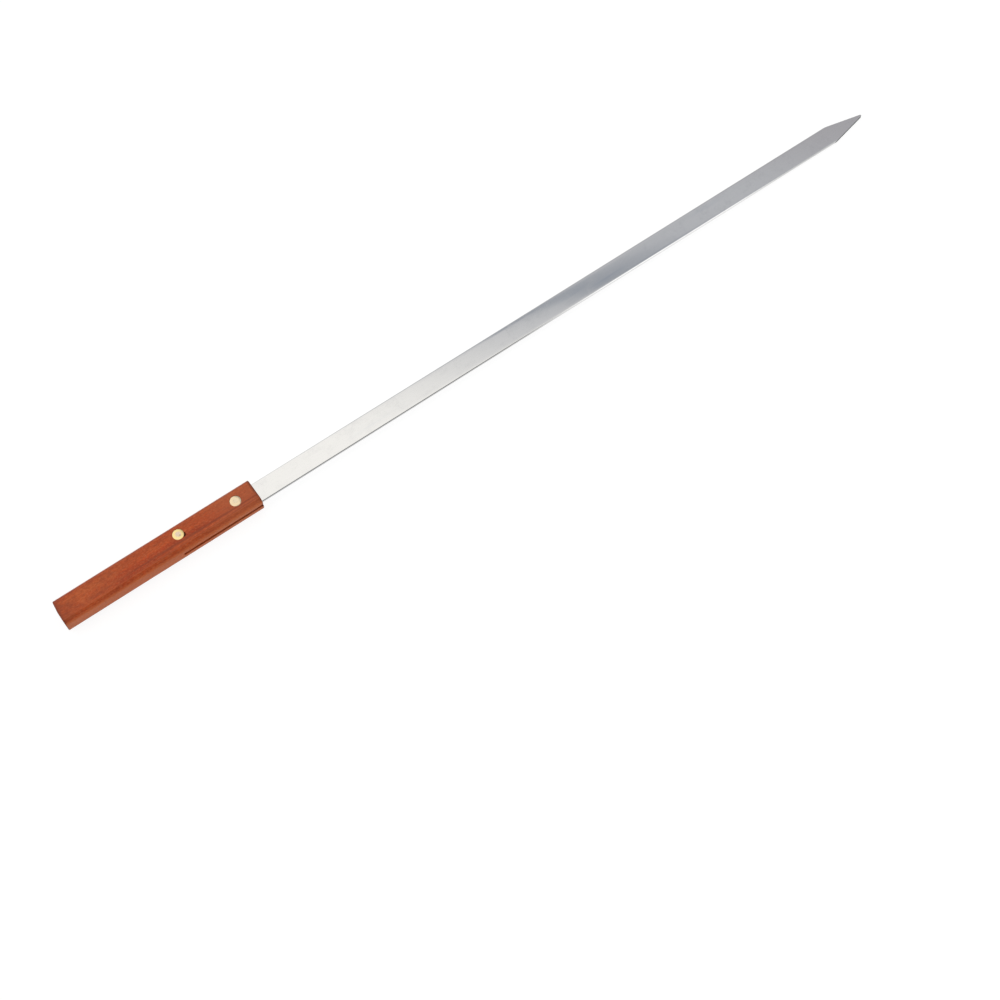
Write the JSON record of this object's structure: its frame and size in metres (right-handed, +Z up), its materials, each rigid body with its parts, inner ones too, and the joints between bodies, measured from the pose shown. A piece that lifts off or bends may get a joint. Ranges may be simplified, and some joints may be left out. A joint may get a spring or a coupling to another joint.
{
  "type": "kebab skewer",
  "caption": "Long flat steel kebab skewer with a spear point and a wooden handle riveted over its plain end.",
  "frame": {"origin": "middle of the skewer's length and width, level with the handle's flat underside", "axes": "+X along the skewer from the handle's butt to the point, +Z up through the flat of the blade and the handle's broad face, +Y across the blade"},
  "size_m": [0.6, 0.017, 0.0134],
  "materials": {
    "wood": "oiled reddish hardwood, satin, fine dark pores along the length",
    "steel": "rolled stainless strip, fine lengthwise grain",
    "rivet_brass": "sanded flush and lightly polished"
  },
  "bodies": {
    "root": {"handle": "wood", "blade": "steel", "front_rivet_cap": "rivet_brass", "front_rivet_post": "rivet_brass", "rear_rivet_cap": "rivet_brass", "rear_rivet_post": "rivet_brass"}
  },
  "joints": []
}
